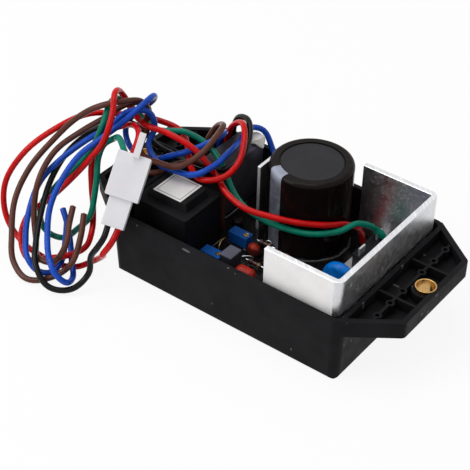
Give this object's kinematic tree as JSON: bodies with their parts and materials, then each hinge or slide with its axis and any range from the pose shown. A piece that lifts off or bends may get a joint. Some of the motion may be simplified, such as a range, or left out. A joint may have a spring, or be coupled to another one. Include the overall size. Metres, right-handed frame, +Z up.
{
  "type": "automatic voltage regulator",
  "caption": "Potted generator voltage regulator: open black tray with ribbed mounting ears, folded heat sink, capacitor, transformers, trimmers and a looped wire harness.",
  "frame": {"origin": "centre of the tray's underside", "axes": "+X along the tray towards the heat sink end, +Y towards the back, +Z up"},
  "size_m": [0.1873, 0.1083, 0.0693],
  "materials": {
    "tray_plastic": "satin moulded black",
    "board": "solder mask",
    "resin": "poured, glossy",
    "brass": "turned",
    "aluminium": "rolled sheet, lightly scratched",
    "black_epoxy": "moulded",
    "steel": "plated",
    "sleeve": "shrink sleeve",
    "end_disc": "pressed disc",
    "case_plastic": "moulded case",
    "label": "plain label",
    "glue": "set silicone",
    "trimmer_blue": "moulded",
    "film_grey": "moulded",
    "orange_dip": "dipped",
    "red_dip": "dipped",
    "blue_dip": "dipped",
    "resistor_tan": "lacquered",
    "brown_dip": "dipped",
    "nylon": "natural nylon",
    "pvc_red": "insulation",
    "pvc_green": "insulation",
    "pvc_blue": "insulation",
    "pvc_brown": "insulation",
    "pvc_black": "insulation"
  },
  "bodies": {
    "regulator": {"tray": "tray_plastic", "circuit_board": "board", "resin": "resin", "bush_left": "brass", "bush_right": "brass", "heat_sink": "aluminium", "rectifier": "black_epoxy", "rectifier_screw": "steel", "main_capacitor": "sleeve", "capacitor_end_disc": "end_disc", "plate_sink": "aluminium", "transistor": "black_epoxy", "transistor_screw": "steel", "front_transformer": "case_plastic", "transformer_label": "label", "rear_transformer": "case_plastic", "glue_dab": "glue", "trimmer_1": "trimmer_blue", "trimmer_2": "trimmer_blue", "film_capacitor": "film_grey", "small_can_capacitor": "sleeve", "orange_capacitor": "orange_dip", "red_capacitor": "red_dip", "varistor": "blue_dip", "resistor_front": "resistor_tan", "resistor_side": "resistor_tan", "diode": "black_epoxy", "ceramic_disc": "brown_dip", "connector_shell": "nylon", "connector_nose": "nylon", "wire_red_1": "pvc_red", "wire_red_2": "pvc_red", "wire_green": "pvc_green", "wire_blue_1": "pvc_blue", "wire_blue_2": "pvc_blue", "wire_brown_1": "pvc_brown", "wire_brown_2": "pvc_brown", "wire_black": "pvc_black"},
    "trimmer_1_screw": {"trimmer_1_screw": "brass"},
    "trimmer_2_screw": {"trimmer_2_screw": "brass"}
  },
  "joints": [
    {"name": "trimmer_1_turn", "type": "hinge", "parent": "regulator", "child": "trimmer_1_screw", "pos_m": [-0.01245, -0.00383, 0.0176], "axis": [0, 0, 1], "continuous": true},
    {"name": "trimmer_2_turn", "type": "hinge", "parent": "regulator", "child": "trimmer_2_screw", "pos_m": [-0.01395, -0.02097, 0.0176], "axis": [0, 0, 1], "continuous": true}
  ]
}
